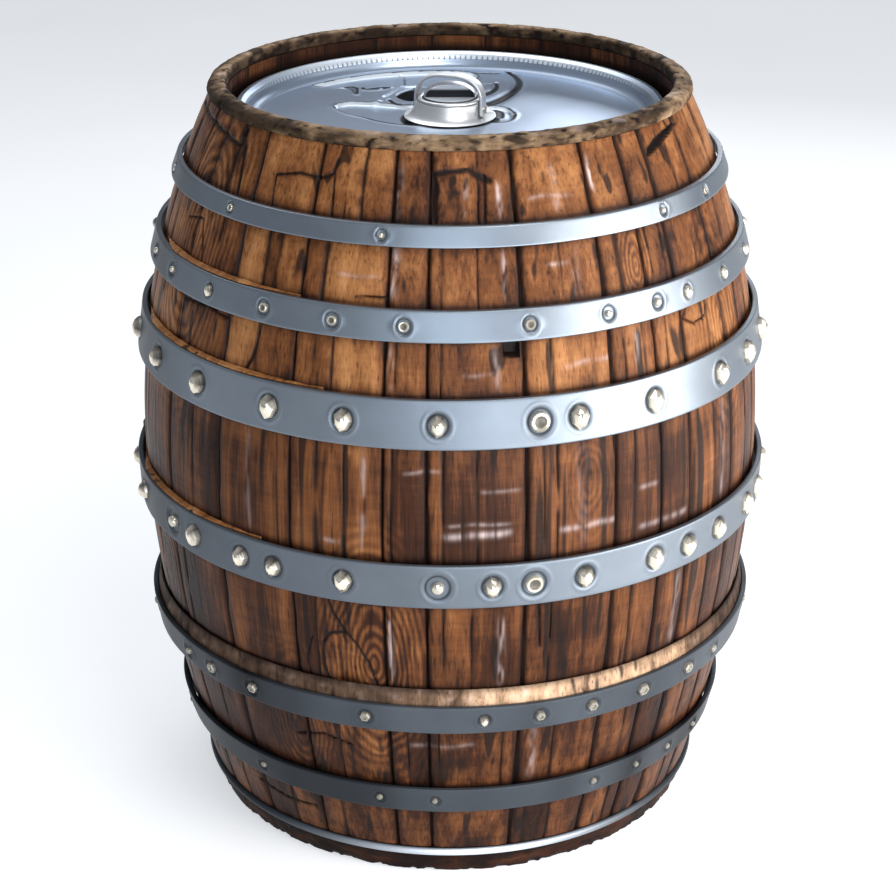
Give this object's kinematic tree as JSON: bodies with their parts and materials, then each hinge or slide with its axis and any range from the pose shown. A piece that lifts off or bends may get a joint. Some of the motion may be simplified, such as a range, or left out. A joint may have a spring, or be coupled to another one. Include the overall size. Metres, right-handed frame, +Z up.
{
  "type": "beer keg",
  "caption": "Wooden barrel-bodied beer keg with studded steel hoops, a recessed stamped steel lid, a sprung tapping valve and a swinging bail.",
  "frame": {"origin": "centre of the foot, on the surface the keg stands on", "axes": "+Z up along the barrel's axis, -Y towards the front"},
  "size_m": [0.6298, 0.6298, 0.72],
  "materials": {
    "stave_oak": "oiled, worn, open grain with dark joints",
    "rim_oak": "rough weathered end grain",
    "foot_oak": "dark, damp-stained, ragged lower edge",
    "raw_oak": "raw sawn wood",
    "head_oak": "plain planed boards",
    "hoop_steel": "satin blue-grey with rubbed edges",
    "lid_steel": "satin pressed sheet",
    "vessel_steel": "satin stainless",
    "bright_steel": "polished",
    "stud_steel": "polished, dented",
    "dome_chrome": "dark polished",
    "spring_steel": "drawn wire",
    "black_rubber": "matt black"
  },
  "bodies": {
    "keg": {"stave_01": "stave_oak", "stave_02": "stave_oak", "stave_03": "stave_oak", "stave_04": "stave_oak", "stave_05": "stave_oak", "stave_06": "stave_oak", "stave_07": "stave_oak", "stave_08": "stave_oak", "stave_09": "stave_oak", "stave_10": "stave_oak", "stave_11": "stave_oak", "stave_12": "stave_oak", "stave_13": "stave_oak", "stave_14": "stave_oak", "stave_15": "stave_oak", "stave_16": "stave_oak", "stave_17": "stave_oak", "stave_18": "stave_oak", "stave_19": "stave_oak", "stave_20": "stave_oak", "stave_21": "stave_oak", "stave_22": "stave_oak", "stave_23": "stave_oak", "stave_24": "stave_oak", "top_chime_ring": "rim_oak", "bottom_chime_ring": "foot_oak", "hoop_1": "hoop_steel", "hoop_2": "hoop_steel", "hoop_3": "hoop_steel", "hoop_4": "hoop_steel", "hoop_5": "hoop_steel", "hoop_6": "hoop_steel", "base_wire_ring": "hoop_steel", "packing_ring": "raw_oak", "head_board_1": "head_oak", "head_board_2": "head_oak", "head_board_3": "head_oak", "head_board_4": "head_oak", "head_board_5": "head_oak", "vessel_locating_ring": "raw_oak", "keg_vessel": "vessel_steel", "rim_seal": "black_rubber", "keg_lid": "lid_steel", "relief_plug": "black_rubber", "valve_neck": "lid_steel", "valve_body": "vessel_steel", "neck_gasket": "black_rubber", "neck_lock_nut": "vessel_steel", "dip_tube": "vessel_steel", "return_spring": "spring_steel", "bail_pin_left": "stud_steel", "bail_pin_right": "stud_steel"},
    "bail": {"bail_handle": "bright_steel"},
    "plunger": {"plunger_dome": "dome_chrome", "plunger_stem": "vessel_steel", "plunger_seal": "black_rubber"}
  },
  "joints": [
    {"name": "bail_swing", "type": "hinge", "parent": "keg", "child": "bail", "pos_m": [0, 0, 0.6875], "axis": [0.9397, -0.342, 0], "range_deg": [-48, 48]},
    {"name": "plunger_press", "type": "slide", "parent": "keg", "child": "plunger", "axis": [0, 0, -1], "range_m": [0, 0.008], "stiffness_N_per_m": 2500, "springref_m": -0.004, "deforming": ["return_spring"]}
  ]
}
